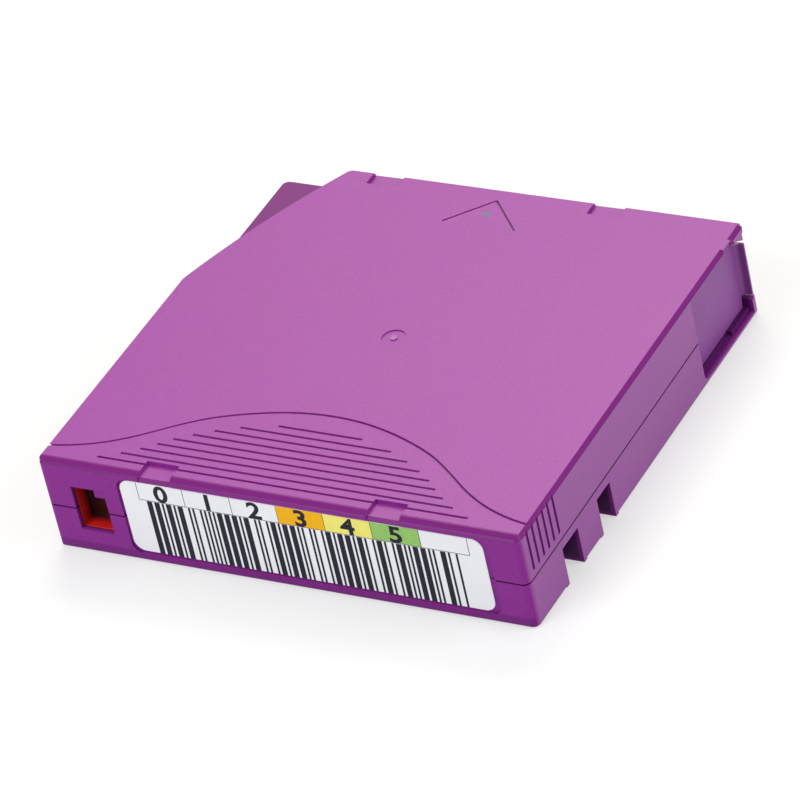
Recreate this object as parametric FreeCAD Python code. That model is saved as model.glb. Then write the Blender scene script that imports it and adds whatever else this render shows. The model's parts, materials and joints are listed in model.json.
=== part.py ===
import FreeCAD, Part
import math
import os

# Half-inch data tape cartridge with one reel.  Millimetres, +Z up.
# Origin: centre of the underside.  -Y is the label end, +Y is the end that goes
# into the drive, and the sliding door is in the +X side.

# ---- case ----
case_width = 105.4
case_length = 102.0
case_height = 21.5
wall = 2.0
floor = 1.6
roof = 1.6
parting_height = 10.36
slider_corner_radius = 1.0
side_corner_radius = 1.6
ledge_corner_radius = 1.5
door_corner_radius = 1.2
least_radius = 0.4
bevel = 0.8
far_edge_bevel = 0.5
label_bevel_depth = 1.4
label_bevel_drop = 0.6
bottom_bevel = 0.4
seam_width = 0.26
seam_depth = 0.45
tongue_height = 0.8
tongue_width = 0.8
fit_gap = 0.1

# ---- cut corner of the upper shell, and the lower ledge beside it ----
ledge_height = 15.9
cut_corner_start = 42.0
cut_corner_inset = 17.2
cut_corner_bulge = 1.2
cut_corner_nip = 1.0

# ---- grooves and pockets in the top ----
groove_width = 0.5
groove_depth = 0.3
wave_half_points = [(0.0, -25.0), (11.0, -26.3), (18.0, -28.5), (24.0, -31.1), (28.0, -33.6),
                    (31.5, -36.2), (36.5, -39.9), (42.0, -43.1), (47.3, -45.1)]
wave_middle_x = -0.35
wave_end_y = -46.4
wave_tolerance = 0.05
line_middle_x = -0.45
line_first_y = -30.25
line_pitch = 2.125
line_half_lengths = [9.2, 16.6, 21.2, 24.9, 28.1, 30.5, 33.2, 36.4, 40.6]
pocket_depth = 0.85
pocket_length = 4.8
far_pocket_length = 3.95
pocket_lip = 0.8
pocket_left_x = -26.7
pocket_right_x = 23.5
pocket_width = 7.1
chevron_middle_x = -0.3
chevron_tip_inset = 3.85
chevron_rise = 8.7
chevron_half_width = 8.15
gate_x = -0.25
gate_y = 0.8
gate_dish_radius = 2.5
gate_dish_depth = 0.25
gate_pip_radius = 0.8
gate_pip_drop = 0.05

# ---- grip ribs and notches in the sides ----
grip_count = 6
grip_first_inset = 3.16
grip_pitch = 2.19
grip_bottom = 12.1
grip_width = 0.75
grip_depth = 0.4
grip_top_gap = 0.1
notch_height = 8.4
notch_depth = 5.0
notch_wall = 1.1
grip_notch_inset = 13.9
grip_notch_width = 6.6
latch_notch_inset = 29.1
latch_notch_width = 5.6

# ---- label, and its recess ----
label_left_inset = 17.6
label_right_inset = 8.4
label_bottom = 2.3
label_top = 19.6
label_radius = 2.5
label_thickness = 0.15
label_margin_left = 0.45
label_margin_right = 1.3
label_margin_low = 0.54
label_margin_high = 0.4
label_recess_depth = 0.5

# ---- write-protect window and slider ----
window_side_inset = 6.2
window_width = 7.5
window_step_width = 5.0
window_bottom = 5.4
window_top = 15.9
window_step_drop = 1.95
window_step_sink = 0.3
window_wall = 1.1
slider_travel = 3.3
slider_cover = 3.6
slider_right_margin = 1.3
slider_edge = 1.4
slider_plate = 1.0
slider_cup_depth = 3.6
slider_cup_wall = 0.8
slider_gap = 0.15
sense_hole_width = 3.0
sense_hole_length = 2.4
sense_hole_inset = 1.2
slider_foot_gap = 0.2
slider_foot_overlap = 1.0
slider_cup_margin = 0.1

# ---- door ----
door_opening_start = 25.5
door_opening_fillet = 1.6
door_opening_end_wall = 2.0
door_thickness = 1.2
door_gap = 0.35
door_edge_gap = 0.15
door_rear = 20.0
door_travel = 23.0
door_lip_thickness = 0.7
door_lip_reach = 2.0
door_lip_setback = 0.3
door_lip_bottom = 4.3
door_lip_top = 16.6
door_lip_fillet = 0.9
door_lip_round = 0.4
door_lip_overlap = 0.5
door_spigot_length = 3.0
door_rib_start = 28.5
door_rib_width = 1.5
door_rib_thickness = 0.5
door_rib_margin = 2.0
door_rail_width = 0.8
door_sill = 1.0
door_lintel = 1.0
sill_rise = 1.0
sill_rise_start = 40.6
sill_rise_inset = 1.1
sill_front_inset = 0.5
corner_block_height = 3.9
gusset_length = 6.0
gusset_drop = 3.5
gusset_door_gap = 0.6
gusset_side_inset = 0.7
gusset_strip_start = 1.0
gusset_strip_drop = 0.8
edge_gap_start = 41.5
edge_gap_end = 45.0
edge_gap_chamfer = 1.0

# ---- reel ----
reel_wall_gap = 0.5
reel_floor_gap = 0.1
reel_seat_height = 0.6
reel_seat_width = 2.0
flange_thickness = 1.0
tape_width = 12.65
tape_play = 0.175
tape_margin = 2.0
tape_thickness = 0.12
hub_radius = 22.0
hub_wall = 2.4
hub_floor_top = 4.4
hub_floor_bottom = 2.0
drive_opening_inset = 3.75
skirt_wall = 0.45
skirt_gap = 0.3
skirt_bottom = 1.2
drive_teeth = 48
blank_teeth = 2
drive_tooth_inset = 1.05
drive_tooth_length = 3.0
drive_tooth_base = 1.0
drive_tooth_tip = 0.35
drive_tooth_height = 1.1
plate_inner_radius = 4.5
plate_gap = 0.8
plate_thickness = 1.0

# ---- brake, its spring and the release pad ----
brake_teeth = 24
brake_tooth_base = 1.6
brake_tooth_tip = 0.8
brake_tooth_height = 1.1
brake_tooth_gap = 0.15
brake_disc_gap = 0.7
brake_tooth_inset = 0.5
brake_tooth_length = 2.8
brake_disc_thickness = 1.8
brake_lift = 1.8
brake_nose_radius = 3.0
brake_post_radius = 4.6
brake_post_height = 7.1
brake_key_width = 1.4
brake_key_span = 6.4
brake_key_gap = 0.15
tooth_post_height = 3.0
tooth_post_angle = 66.0
tooth_post_margin = 0.2
pad_thickness = 1.5
pad_arm_width = 4.4
pad_middle_radius = 5.2
pad_boss_radius = 3.2
pad_boss_height = 0.65
pad_leg_radius = 1.6
pad_leg_inset = 4.1
pad_leg_length = 3.2
pad_leg_gap = 0.3
brake_spring_radius = 6.6
brake_spring_wire = 0.8
brake_spring_turns = 4
spring_ring_gap = 0.3
spring_ring_wall = 0.8
spring_ring_height = 1.0

# ---- leader pin, its seat, clip and spring ----
pin_side_inset = 9.1
pin_front_inset = 10.5
pin_shaft_radius = 1.25
pin_flange_radius = 2.4
pin_flange_thickness = 0.7
pin_end_radius = 1.5
pin_seat_radius = 3.2
pin_seat_height = 0.9
pin_seat_clearance = 0.575
clip_radius = 1.9
pin_spring_thickness = 0.3
pin_spring_clear = 1.0
pin_spring_foot = 1.6
pin_spring_end_gap = 0.3
pin_tip_length = 0.6

# ---- door spring ----
door_spring_radius = 0.75
door_spring_wire = 0.35
door_spring_turns = 12
door_spring_height = 14.0
door_spring_stop = -27.0
door_spring_stop_width = 1.4

# ---- screws and bosses ----
screw_insets = [(5.3, 11.2, -1, -1), (4.7, 10.4, 1, -1), (5.5, 5.4, -1, 1), (16.2, 5.0, 1, 1)]
boss_radius = 2.9
boss_split = 9.6
screw_head_radius = 2.2
screw_head_height = 1.8
screw_head_room = 2.5
screw_seat = 4.0
screw_shank_radius = 1.0
screw_shank_length = 8.6
screw_hole_radius = 1.4
pilot_radius = 1.05
pilot_spare = 0.8
screw_tip_bevel = 0.5
screw_recess_radius = 1.1
screw_recess_depth = 1.0

# ---- locating sockets in the underside ----
socket_radius = 2.0
socket_depth = 4.2
socket_wall = 1.2
socket_side_inset = 11.2
socket_front_inset = 12.5
slot_side_inset = 24.2
slot_front_inset = 5.8
slot_length = 5.5

# ---- memory board ----
board_side_inset = 7.7
board_length = 16.0
board_width = 9.0
board_thickness = 0.8
board_floor_gap = 0.4
chip_size = 3.0
chip_thickness = 0.7
holder_thickness = 1.2
holder_inset = 0.6
holder_height_share = 0.75
holder_slot_gap = 0.1

# ---- reel guides inside the shells ----
guide_gap = 0.8
guide_wall = 1.0
guide_half_angle = 14.0

half_width = case_width / 2
half_length = case_length / 2
label_left = -half_width + label_left_inset
label_right = half_width - label_right_inset
window_left = -half_width + window_side_inset
window_right = window_left + window_width
window_step_x = window_left + window_step_width
board_right = half_width - board_side_inset
board_left = board_right - board_length
inner_x = half_width - wall
inner_y = half_length - wall
ceiling = case_height - roof
BIG = 20.0

flange_radius = min(half_width, half_length) - wall - reel_wall_gap
tape_radius = flange_radius - tape_margin
reel_bottom = floor + reel_seat_height + reel_floor_gap
winding_bottom = reel_bottom + flange_thickness
winding_top = winding_bottom + tape_width + 2 * tape_play
tape_bottom = winding_bottom + tape_play
tape_top = tape_bottom + tape_width
hub_inner = hub_radius - hub_wall
drive_opening_radius = hub_radius - drive_opening_inset
drive_tooth_outer = drive_opening_radius - drive_tooth_inset
drive_tooth_inner = drive_tooth_outer - drive_tooth_length
pad_leg_circle = hub_inner - pad_leg_inset
plate_outer_radius = drive_tooth_inner - plate_gap
brake_disc_radius = hub_inner - brake_disc_gap
brake_tooth_outer = brake_disc_radius - brake_tooth_inset
brake_tooth_inner = brake_tooth_outer - brake_tooth_length

hub_root = hub_floor_top + tooth_post_height
brake_disc_bottom = hub_root + brake_tooth_height + brake_tooth_gap
brake_disc_top = brake_disc_bottom + brake_disc_thickness
pad_bottom = hub_floor_top + fit_gap
pad_top = pad_bottom + pad_thickness + pad_boss_height
brake_slot_bottom = brake_disc_top + brake_key_gap

door_outer = inner_x - door_gap
door_inner = door_outer - door_thickness
door_bottom = floor + door_edge_gap
door_top = ceiling - door_edge_gap
door_lip_front = half_length - door_lip_setback
door_opening_end = half_length - door_opening_end_wall
door_panel_front = door_opening_end - door_edge_gap

pin_x = half_width - pin_side_inset
pin_y = half_length - pin_front_inset
guide_inner = flange_radius + guide_gap
label_face = -half_length + label_recess_depth
wall_inner_y = -half_length + wall


# ---- plain helpers ----
def box(x0, x1, y0, y1, z0, z1):
    return Part.makeBox(x1 - x0, y1 - y0, z1 - z0, FreeCAD.Vector(x0, y0, z0))


def cylinder(radius, z0, z1, x=0.0, y=0.0):
    return Part.makeCylinder(radius, z1 - z0, FreeCAD.Vector(x, y, z0))


def small_round(radius, z0, z1, x=0.0, y=0.0, sides=12):
    """A small inner boss or hole with flat sides, which saves facets."""
    turns = [2 * math.pi * i / sides for i in range(sides)]
    return prism([(x + radius * math.cos(t), y + radius * math.sin(t)) for t in turns], z0, z1)


def tube(inner, outer, z0, z1, x=0.0, y=0.0):
    return cylinder(outer, z0, z1, x, y).cut(cylinder(inner, z0, z1, x, y))


def prism(points, z0, z1):
    corners = [FreeCAD.Vector(x, y, z0) for x, y in points]
    face = Part.Face(Part.makePolygon(corners + corners[:1]))
    return face.extrude(FreeCAD.Vector(0, 0, z1 - z0))


def prism_along_x(points_yz, x0, x1):
    corners = [FreeCAD.Vector(x0, y, z) for y, z in points_yz]
    face = Part.Face(Part.makePolygon(corners + corners[:1]))
    return face.extrude(FreeCAD.Vector(x1 - x0, 0, 0))


def prism_along_y(points_xz, y0, y1):
    corners = [FreeCAD.Vector(x, y0, z) for x, z in points_xz]
    face = Part.Face(Part.makePolygon(corners + corners[:1]))
    return face.extrude(FreeCAD.Vector(0, y1 - y0, 0))


def turned(shape, angle):
    copy = shape.copy()
    copy.rotate(FreeCAD.Vector(0, 0, 0), FreeCAD.Vector(0, 0, 1), angle)
    return copy


def ring_of(shape, count):
    return [turned(shape, 360.0 * i / count) for i in range(count)]


def fused(shapes):
    whole = shapes[0].multiFuse(shapes[1:]) if len(shapes) > 1 else shapes[0]
    return whole.removeSplitter()


def sector(inner, outer, z0, z1, middle_angle, half_angle):
    """A piece of a ring, between two angles in degrees."""
    start = middle_angle - half_angle
    blank = Part.makeCylinder(outer, z1 - z0, FreeCAD.Vector(0, 0, z0), FreeCAD.Vector(0, 0, 1),
                              2 * half_angle)
    return turned(blank, start).cut(cylinder(inner, z0, z1))


def save(name, shape):
    shape.exportStep("parts/" + name + ".step")


# ---- outline of the case ----
def upright_edges(shape, x, y):
    found = []
    for edge in shape.Edges:
        middle = edge.BoundBox.Center
        if abs(middle.x - x) < 0.01 and abs(middle.y - y) < 0.01 and edge.BoundBox.ZLength > 0.05:
            found.append(edge)
    return found


def case_block(inset, z0, z1):
    """The plan of the case, pulled in by inset, with its rounded corners."""
    x = half_width - inset
    y = half_length - inset
    block = box(-x, x, -y, y, z0, z1)
    for corner_x, corner_y, radius in ((-x, -y, slider_corner_radius), (x, -y, side_corner_radius),
                                       (-x, y, ledge_corner_radius), (x, y, door_corner_radius)):
        rounded = max(radius - inset, least_radius)
        block = block.makeFillet(rounded, upright_edges(block, corner_x, corner_y))
    return block


def corner_cut_circle():
    """Centre and radius of the arc that trims the upper shell's corner."""
    start_x = -half_width
    start_y = half_length - cut_corner_start
    end_x = -half_width + cut_corner_inset
    end_y = half_length
    chord = math.hypot(end_x - start_x, end_y - start_y)
    radius = (chord ** 2 / 4 + cut_corner_bulge ** 2) / (2 * cut_corner_bulge)
    inward_x = (end_y - start_y) / chord
    inward_y = -(end_x - start_x) / chord
    reach = radius - cut_corner_bulge
    return (start_x + end_x) / 2 + inward_x * reach, (start_y + end_y) / 2 + inward_y * reach, radius


def upper_body(inset, z0, z1):
    """The taller part of the upper shell, trimmed by the corner arc."""
    x, y, radius = corner_cut_circle()
    return case_block(inset, z0, z1).common(cylinder(radius - inset, z0, z1, x, y))


def bevelled(block, z, size):
    edges = [edge for edge in block.Edges
             if abs(edge.BoundBox.ZMin - z) < 0.01 and edge.BoundBox.ZLength < 0.01]
    return block.makeChamfer(size, edges)


def grip_places():
    return [-half_length + grip_first_inset + grip_pitch * i for i in range(grip_count)]


def notch_blocks(side, wall_around):
    """The notches in one side: the near one on both sides, the latch notch only at +X."""
    places = [(grip_notch_inset, grip_notch_width)]
    if side > 0:
        places.append((latch_notch_inset, latch_notch_width))
    blocks = []
    for inset, width in places:
        y0 = -half_length + inset - wall_around
        y1 = y0 + width + 2 * wall_around
        deep = side * (half_width - notch_depth - wall_around)
        out = side * (half_width if wall_around else half_width + BIG)
        bottom = 0.0 if wall_around else -BIG
        blocks.append(box(min(deep, out), max(deep, out), y0, y1, bottom, notch_height + wall_around))
    return blocks


def window_opening():
    """The stepped window in the label face."""
    step_top = window_top - window_step_drop
    outline = [(window_left, window_bottom), (window_right, window_bottom),
               (window_right, step_top), (window_step_x, step_top),
               (window_step_x, window_top), (window_left, window_top)]
    y0 = -half_length - 1
    hole = prism_along_y(outline, y0, wall_inner_y + 1)
    sunk_step = box(window_step_x - fit_gap, window_right, y0, -half_length + window_step_sink,
                    step_top - fit_gap, window_top)
    return hole.fuse(sunk_step)


def slider_pocket():
    """The wall is thinner where the slider's plate runs behind it."""
    return box(window_left - slider_cover - slider_gap,
               window_right + slider_right_margin + slider_travel + slider_gap,
               -half_length + window_wall, wall_inner_y + fit_gap,
               window_bottom - slider_edge - slider_gap, window_top + slider_edge + slider_gap)


def label_block(share, y0, y1):
    """The label's outline: share 0 is the label itself and 1 is its recess."""
    x0 = label_left - share * label_margin_left
    x1 = label_right + share * label_margin_right
    z0 = label_bottom - share * label_margin_low
    z1 = label_top + share * label_margin_high
    block = box(x0, x1, y0, y1, z0, z1)
    edges = [edge for edge in block.Edges if edge.BoundBox.YLength > (y1 - y0) * 0.9]
    return block.makeFillet(label_radius, edges)


def door_window():
    """The opening in the side for the leader pin, which the door closes."""
    start = door_opening_start
    block = box(door_outer + fit_gap, half_width + BIG, start, half_length + BIG,
                door_sill, case_height - door_lintel)
    corner = [edge for edge in block.Edges
              if edge.BoundBox.XLength > 1 and abs(edge.BoundBox.YMin - start) < 0.01
              and abs(edge.BoundBox.ZMin - door_sill) < 0.01 and edge.BoundBox.YLength < 0.01]
    return block.makeFillet(door_opening_fillet, corner)


def front_end_gap():
    """Where the front wall stops short, so that the door's front end can close the corner."""
    return box(door_inner - fit_gap, half_width + BIG, door_opening_end - BIG / 2, half_length + BIG,
               corner_block_height, case_height - roof)


def shell_guides(z0, z1):
    """Ribs that keep the reel near the middle; the corner with the pin has none."""
    top = guide_inner + guide_wall
    return [sector(guide_inner, top, z0, z1, angle, guide_half_angle) for angle in (135, 225, 315)]


def screw_places():
    return [(sx * (half_width - ix), sy * (half_length - iy)) for ix, iy, sx, sy in screw_insets]


def seat_horseshoe(z0, z1):
    """Wall round one end of the leader pin, open towards the door."""
    mouth = pin_end_radius + fit_gap
    block = small_round(pin_seat_radius, z0, z1, pin_x, pin_y, sides=16)
    return block.cut([cylinder(mouth, z0, z1, pin_x, pin_y),
                      box(pin_x, pin_x + BIG, pin_y - mouth, pin_y + mouth, z0, z1)])


# ---- upper shell ----
def wave_groove():
    halves = [(-x, y) for x, y in reversed(wave_half_points[1:])] + wave_half_points
    points = [(wave_middle_x + x, y) for x, y in halves]
    ends = [(-half_width - 1, wave_end_y)] + points + [(half_width + 1, wave_end_y)]
    top = case_height + 1
    bottom = case_height - groove_depth
    sides = []
    for shift in (-groove_width / 2, groove_width / 2):
        curve = Part.BSplineCurve()
        curve.interpolate([FreeCAD.Vector(x, y + shift, bottom) for x, y in ends])
        sides.append([arc.toShape() for arc in curve.toBiArcs(wave_tolerance)])
    first = [side[0].Vertexes[0].Point for side in sides]
    last = [side[-1].Vertexes[-1].Point for side in sides]
    edges = sides[0] + sides[1] + [Part.makeLine(*first), Part.makeLine(*last)]
    outline = Part.Wire(Part.sortEdges(edges)[0])
    return Part.Face(outline).extrude(FreeCAD.Vector(0, 0, top - bottom))


def slanted_groove(x0, y0, x1, y1, width):
    length = math.hypot(x1 - x0, y1 - y0)
    aside_x = -(y1 - y0) / length * width / 2
    aside_y = (x1 - x0) / length * width / 2
    corners = [(x0 + aside_x, y0 + aside_y), (x1 + aside_x, y1 + aside_y),
               (x1 - aside_x, y1 - aside_y), (x0 - aside_x, y0 - aside_y)]
    return prism(corners, case_height - groove_depth, case_height + 1)


def top_grooves():
    low = case_height - groove_depth
    high = case_height + 1
    cuts = [wave_groove()]
    for i, half in enumerate(line_half_lengths):
        y = line_first_y - line_pitch * i
        cuts.append(box(line_middle_x - half, line_middle_x + half,
                        y - groove_width / 2, y + groove_width / 2, low, high))
    tip_y = half_length - chevron_tip_inset
    foot_y = tip_y - chevron_rise
    for side in (-1, 1):
        foot_x = chevron_middle_x + side * chevron_half_width
        cuts.append(slanted_groove(foot_x, foot_y, chevron_middle_x, tip_y, groove_width * 0.8))
    dish = small_round(gate_dish_radius, case_height - gate_dish_depth, high, gate_x, gate_y, sides=36)
    cuts.append(dish.cut(small_round(gate_pip_radius, low, case_height - gate_pip_drop, gate_x, gate_y)))
    return cuts


def edge_pockets(grow, depth):
    """Shallow pockets in the top, at both ends; grown, they back each pocket from below."""
    z0 = case_height - pocket_depth - depth
    z1 = case_height + 1 if depth == 0 else case_height - pocket_depth
    blocks = []
    for x in (pocket_left_x, pocket_right_x):
        half = pocket_width / 2 + grow
        near_y = -half_length + pocket_length + grow
        far_y = half_length - far_pocket_length - grow
        blocks.append(box(x - half, x + half, -half_length, near_y, z0, z1))
        blocks.append(box(x - half, x + half, far_y, half_length, z0, z1))
    return blocks


def grip_grooves():
    cuts = []
    for y in grip_places():
        for side in (-1, 1):
            inner = side * (half_width - grip_depth)
            outer = side * (half_width + 1)
            cuts.append(box(min(inner, outer), max(inner, outer), y - grip_width / 2, y + grip_width / 2,
                            grip_bottom, case_height - grip_top_gap))
    return cuts


def pocket_lips():
    """The floor of each pocket at the label end falls away at its front."""
    low = case_height - pocket_depth
    front = -half_length
    corner = [(front - 1, low - pocket_lip - 1), (front + pocket_lip, low), (front - 1, low + 1)]
    return [prism_along_x(corner, x - pocket_width / 2, x + pocket_width / 2)
            for x in (pocket_left_x, pocket_right_x)]


def far_edge_trims():
    """The far top edge is bevelled, and the cut corner ends in a small nip."""
    start_y = half_length - far_edge_bevel
    slope = [(start_y, case_height + 1), (start_y, case_height),
             (half_length + 1, case_height - far_edge_bevel - 1), (half_length + 1, case_height + 1)]
    corner_x = -half_width + cut_corner_inset
    aside = cut_corner_nip * cut_corner_inset / cut_corner_start
    nip = [(corner_x + cut_corner_nip, half_length), (corner_x + cut_corner_nip, half_length + 1),
           (corner_x - 2, half_length + 1), (corner_x - 2, half_length - cut_corner_nip),
           (corner_x - aside, half_length - cut_corner_nip)]
    return [prism_along_x(slope, -half_width - 1, half_width + 1),
            prism(nip, ledge_height, case_height + 1)]


def brake_key(grow, z0, z1):
    """Cross-shaped rib that keeps the brake from turning."""
    long = brake_key_span / 2 + grow
    thick = brake_key_width / 2 + grow
    return box(-long, long, -thick, thick, z0, z1).fuse(box(-thick, thick, -long, long, z0, z1))


def upper_shell():
    split = parting_height
    body = upper_body(0, split, case_height)
    square = box(-half_width - 1, half_width - bevel, -half_length + bevel, half_length + 1,
                 split, case_height)
    skin = fused([bevelled(body, case_height, bevel), body.common(square),
                  case_block(0, split, ledge_height)])
    room_low = case_block(wall, split - 1, ledge_height - roof)
    room_high = upper_body(wall, split - 1, ceiling)
    skin = skin.cut(room_low.fuse(room_high))

    ribs = [rib.common(upper_body(wall / 2, split, case_height - roof / 2))
            for rib in shell_guides(split + fit_gap, ceiling + fit_gap)]
    key_bottom = brake_slot_bottom + brake_lift + fit_gap
    ribs.append(brake_key(0, key_bottom, ceiling + fit_gap))
    spring_seat = brake_spring_radius + brake_spring_wire / 2 + spring_ring_gap
    ribs.append(small_round(spring_seat + spring_ring_wall, ceiling - spring_ring_height, ceiling + fit_gap,
                            sides=24).cut(small_round(spring_seat, 0, case_height, sides=24)))
    for x, y in screw_places():
        low_roof = x < 0 and y > 0
        top = (ledge_height if low_roof else case_height) - roof + fit_gap
        ribs.append(small_round(boss_radius, boss_split, top, x, y))
    ribs.extend(edge_pockets(fit_gap, roof))
    pin_top_flange = pin_flange_faces()[1]
    ribs.append(seat_horseshoe(pin_top_flange + pin_seat_clearance, ceiling + fit_gap))
    ribs.append(box(door_inner, inner_x + fit_gap, door_spring_stop - door_spring_stop_width,
                    door_spring_stop, split + tongue_height + fit_gap, ceiling + fit_gap))
    ribs.append(box(window_left - wall, window_right + slider_travel, wall_inner_y - fit_gap,
                    wall_inner_y + slider_plate, window_top + slider_edge + slider_gap, ceiling + fit_gap))
    shell = fused([skin] + ribs)

    beyond = -half_length - 1
    wedge = [(beyond, case_height - label_bevel_drop * (1 + 1 / label_bevel_depth)),
             (-half_length + label_bevel_depth, case_height), (beyond, case_height + 1)]
    cuts = [prism_along_x(wedge, -half_width - 1, half_width + 1)]
    cuts.extend(top_grooves())
    cuts.extend(edge_pockets(0, 0) + pocket_lips() + far_edge_trims())
    cuts.extend(grip_grooves())
    cuts.extend([window_opening(), slider_pocket()])
    cuts.append(label_block(1, -half_length - 1, label_face))
    cuts.append(door_window())
    cuts.append(front_end_gap())
    tongue_room = tongue_width + fit_gap
    cuts.append(case_block(wall - tongue_room, split - 1, split + tongue_height + fit_gap)
                .cut(case_block(wall, split - 1, split + tongue_height + fit_gap)))
    seam_top = split + seam_width
    around = box(-half_width - 1, half_width + 1, -half_length - 1, half_length + 1, split, seam_top)
    cuts.append(around.cut(case_block(seam_depth, split, seam_top)))
    pilot_top = screw_seat + screw_shank_length + pilot_spare
    cuts.extend(small_round(pilot_radius, boss_split - 1, pilot_top, x, y) for x, y in screw_places())
    shell = shell.cut(cuts)
    return fused([shell, corner_gusset()] + square_edge()).cut(under_bevel()).removeSplitter()


def corner_gusset():
    """Small web under the roof at the door's front corner, above the door's lip."""
    under_roof = case_height - door_lintel
    y0 = half_length - gusset_length
    inner = door_outer + gusset_door_gap
    outline = [(y0, under_roof), (half_length, under_roof), (half_length, under_roof - gusset_drop)]
    strip = box(inner, half_width, y0 + gusset_strip_start, half_length, under_roof - gusset_strip_drop,
                under_roof)
    web = prism_along_x(outline, inner, half_width - gusset_side_inset)
    return web.fuse(strip).common(case_block(0, 0, case_height))


def square_edge():
    """A short length of the side edge has no bevel."""
    corner = [(half_width - bevel, case_height), (half_width, case_height),
              (half_width, case_height - bevel)]
    return [prism_along_y(corner, edge_gap_start, edge_gap_end)]


def under_bevel():
    low = case_height - door_lintel - fit_gap
    out = half_width + fit_gap
    corner = [(out, low + edge_gap_chamfer), (out, low), (out - edge_gap_chamfer, low)]
    return prism_along_y(corner, edge_gap_start, edge_gap_end)


# ---- lower shell ----
def slider_rail():
    z1 = window_bottom - slider_edge - slider_gap
    return box(window_left - slider_cover, window_right + slider_travel + slider_right_margin,
               wall_inner_y - fit_gap, wall_inner_y + slider_plate, floor - fit_gap, z1)


def board_slope():
    """Lower corner of the leaning memory board's underside, and the height it leans up to."""
    run = board_width / math.sqrt(2)
    y0 = wall_inner_y + fit_gap + run
    z0 = floor + board_floor_gap
    return y0, z0, run


def board_holders():
    y0, z0, run = board_slope()
    gap = holder_slot_gap
    thick = board_thickness * math.sqrt(2)
    back = y0 + thick + holder_thickness
    ends = [box(x - holder_thickness, x + holder_thickness, wall_inner_y - fit_gap, back, floor - fit_gap,
                z0 + run * holder_height_share)
            for x in (board_left + holder_inset, board_right - holder_inset)]
    slot = [(y0, z0), (y0 + thick + gap, z0), (y0 + thick + gap - run - BIG, z0 + run + BIG),
            (y0 - run - BIG, z0 + run + BIG)]
    space = prism_along_x(slot, board_left - gap, board_right + gap)
    return [end.cut(space) for end in ends]


def screw_bosses_below():
    return [small_round(boss_radius, floor - fit_gap, boss_split, x, y) for x, y in screw_places()]


def socket_place():
    return -half_width + socket_side_inset, half_length - socket_front_inset


def slot_block(grow, z0, z1):
    x = half_width - slot_side_inset
    y = half_length - slot_front_inset
    reach = slot_length / 2 - socket_radius
    radius = socket_radius + grow
    middle = box(x - reach, x + reach, y - radius, y + radius, z0, z1)
    return middle.fuse([cylinder(radius, z0, z1, x - reach, y), cylinder(radius, z0, z1, x + reach, y)])


def lower_shell():
    split = parting_height
    skin = bevelled(case_block(0, 0, split), 0, bottom_bevel)
    skin = skin.cut(case_block(wall, floor, split + 1))
    tongue = case_block(wall - tongue_width, split - fit_gap, split + tongue_height)
    skin = skin.fuse(tongue.cut(case_block(wall, split - 1, split + 1 + tongue_height)))

    ribs = [rib.common(case_block(wall / 2, 0, split)) for rib in shell_guides(floor - fit_gap, split)]
    ribs.append(tube(drive_opening_radius, drive_opening_radius + reel_seat_width, floor - fit_gap,
                     floor + reel_seat_height))
    ribs.extend(screw_bosses_below())
    for side in (-1, 1):
        ribs.extend(notch_blocks(side, notch_wall))
    ribs.append(slider_rail())
    ribs.extend(board_holders())
    socket_x, socket_y = socket_place()
    ribs.append(small_round(socket_radius + socket_wall, floor - fit_gap, socket_depth + socket_wall,
                            socket_x, socket_y))
    ribs.append(slot_block(socket_wall, floor - fit_gap, socket_depth + socket_wall))
    ribs.append(seat_horseshoe(floor - fit_gap, floor + pin_seat_height))
    ribs.append(box(door_inner - fit_gap - door_rail_width, door_inner - fit_gap, door_rear - door_travel,
                    door_panel_front, floor - fit_gap, floor + reel_seat_height - fit_gap))
    sill = box(door_outer + fit_gap, half_width - sill_rise_inset, sill_rise_start,
               half_length - sill_front_inset, door_sill, door_sill + sill_rise)
    ribs.append(sill.common(case_block(0, 0, split)))
    shell = fused([skin] + ribs)

    cuts = [cylinder(drive_opening_radius, -1, floor + 1)]
    for side in (-1, 1):
        cuts.extend(notch_blocks(side, 0))
    cuts.extend([window_opening(), slider_pocket()])
    cuts.append(label_block(1, -half_length - 1, label_face))
    window = door_window()
    keep_sill = box(door_outer, half_width - sill_rise_inset, sill_rise_start, half_length, 0,
                    door_sill + sill_rise)
    cuts.append(window.cut(keep_sill).cut(corner_block()))
    cuts.append(front_end_gap())
    for x, y in screw_places():
        cuts.append(small_round(screw_head_room, -1, screw_seat, x, y, sides=16))
        cuts.append(small_round(screw_hole_radius, 0, boss_split + 1, x, y))
    cuts.append(cylinder(socket_radius, -1, socket_depth, socket_x, socket_y))
    cuts.append(slot_block(0, -1, socket_depth))
    hole_x = window_right - sense_hole_inset - sense_hole_width
    hole_y = wall_inner_y + slider_plate + fit_gap
    cuts.append(box(hole_x, hole_x + sense_hole_width, hole_y, hole_y + sense_hole_length, -1, floor + 1))
    return shell.cut(cuts).removeSplitter()


def corner_block():
    return box(door_inner - fit_gap, half_width + BIG, door_opening_end, half_length + BIG,
               0, corner_block_height)


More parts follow.
